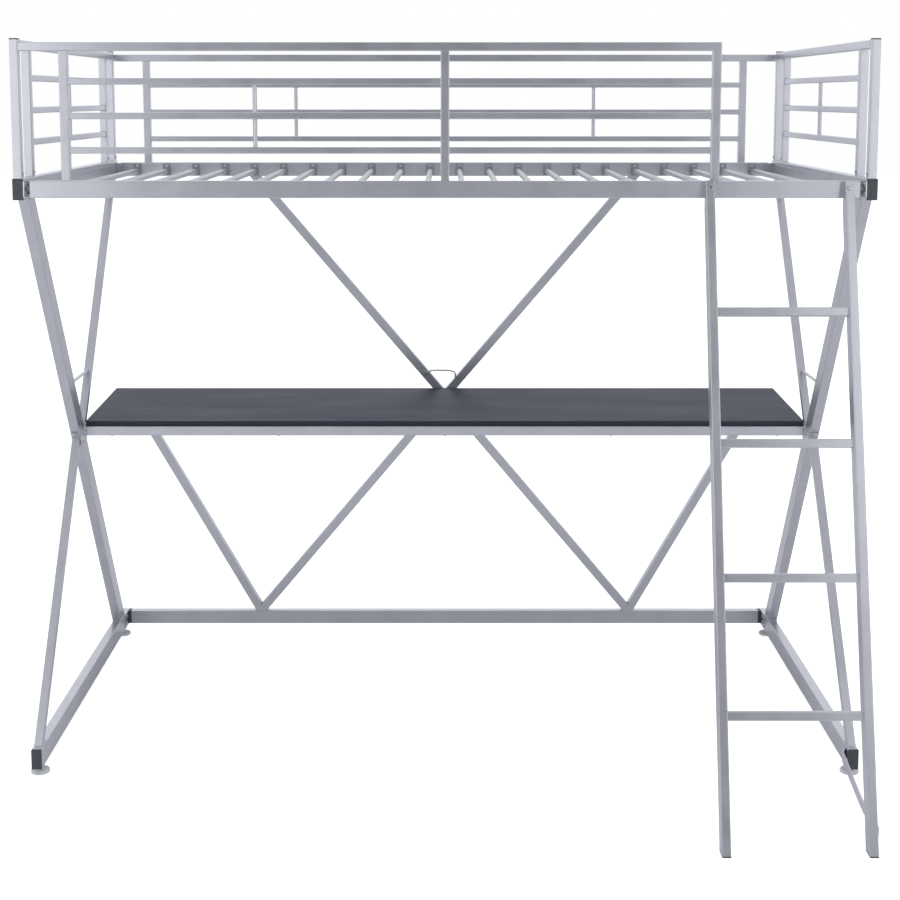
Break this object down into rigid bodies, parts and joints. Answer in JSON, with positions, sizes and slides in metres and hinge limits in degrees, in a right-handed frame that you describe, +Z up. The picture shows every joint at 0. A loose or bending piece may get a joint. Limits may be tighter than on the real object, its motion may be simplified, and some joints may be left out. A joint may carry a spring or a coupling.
{
  "type": "loft bed with desk",
  "caption": "Raised single bed on crossed tubular metal legs, with guard rails, an inclined ladder at the right of the front and a dark desk board across the rear half underneath.",
  "frame": {"origin": "on the floor, under the middle of the whole footprint with the ladder", "axes": "+X to the right along the bed, +Y towards the rear bracing, away from the ladder, +Z up"},
  "size_m": [2.021, 1.4674, 1.769],
  "materials": {
    "silver_paint": "semi-gloss silver powder coat",
    "slat_metal": "semi-gloss silver powder coat",
    "zinc_plate": "bright zinc plate",
    "black_bolts": "black oxide",
    "black_plastic": "fine moulded texture",
    "grey_plastic": "silver grey moulding",
    "foot_plastic": "pale translucent",
    "desk_board": "dark grey satin laminate"
  },
  "bodies": {
    "frame": {"deck_ledges": "silver_paint", "desk_brackets": "zinc_plate", "desk_front_rail": "silver_paint", "desk_rear_rail": "silver_paint", "desk_screws": "black_bolts", "desk_top": "desk_board", "end_panel_posts": "silver_paint", "end_panel_rails": "silver_paint", "end_panel_top_rails": "silver_paint", "foot_inserts": "black_plastic", "frame_bolts": "zinc_plate", "front_guard_end_post": "silver_paint", "front_guard_rails": "silver_paint", "front_guard_top_rail": "silver_paint", "front_guard_uprights": "silver_paint", "front_left_post": "silver_paint", "front_right_post": "silver_paint", "front_side_rail": "silver_paint", "guard_spindles": "silver_paint", "ladder_foot_plugs": "black_plastic", "ladder_left_stile": "silver_paint", "ladder_right_stile": "silver_paint", "ladder_rungs": "silver_paint", "ladder_stay": "silver_paint", "left_bottom_bar": "silver_paint", "left_diagonal": "silver_paint", "left_top_bar": "silver_paint", "light_struts": "silver_paint", "lower_braces": "silver_paint", "post_caps": "black_plastic", "post_spigots": "silver_paint", "rear_guard_rails": "silver_paint", "rear_guard_top_rail": "silver_paint", "rear_guard_uprights": "silver_paint", "rear_left_post": "silver_paint", "rear_right_post": "silver_paint", "rear_side_rail": "silver_paint", "rear_stretcher": "silver_paint", "right_bottom_bar": "silver_paint", "right_diagonal": "silver_paint", "right_top_bar": "silver_paint", "side_rail_brackets": "zinc_plate", "slat_clips": "grey_plastic", "slat_screws": "zinc_plate", "slats": "slat_metal", "stretcher_plates": "zinc_plate", "stretcher_spacers": "black_plastic", "strut_plates": "zinc_plate", "tie_rods": "zinc_plate", "tube_plugs": "black_plastic", "upper_braces": "silver_paint", "wire_hook": "zinc_plate"},
    "front_left_foot": {"front_left_foot_pad": "foot_plastic", "front_left_foot_screw": "zinc_plate"},
    "front_right_foot": {"front_right_foot_pad": "foot_plastic", "front_right_foot_screw": "zinc_plate"},
    "rear_left_foot": {"rear_left_foot_pad": "foot_plastic", "rear_left_foot_screw": "zinc_plate"},
    "rear_right_foot": {"rear_right_foot_pad": "foot_plastic", "rear_right_foot_screw": "zinc_plate"}
  },
  "joints": [
    {"name": "front_left_foot_height", "type": "slide", "parent": "frame", "child": "front_left_foot", "axis": [0, 0, -1], "range_m": [-0.006, 0.014]},
    {"name": "front_right_foot_height", "type": "slide", "parent": "frame", "child": "front_right_foot", "axis": [0, 0, -1], "range_m": [-0.006, 0.014]},
    {"name": "rear_left_foot_height", "type": "slide", "parent": "frame", "child": "rear_left_foot", "axis": [0, 0, -1], "range_m": [-0.006, 0.014]},
    {"name": "rear_right_foot_height", "type": "slide", "parent": "frame", "child": "rear_right_foot", "axis": [0, 0, -1], "range_m": [-0.006, 0.014]}
  ]
}
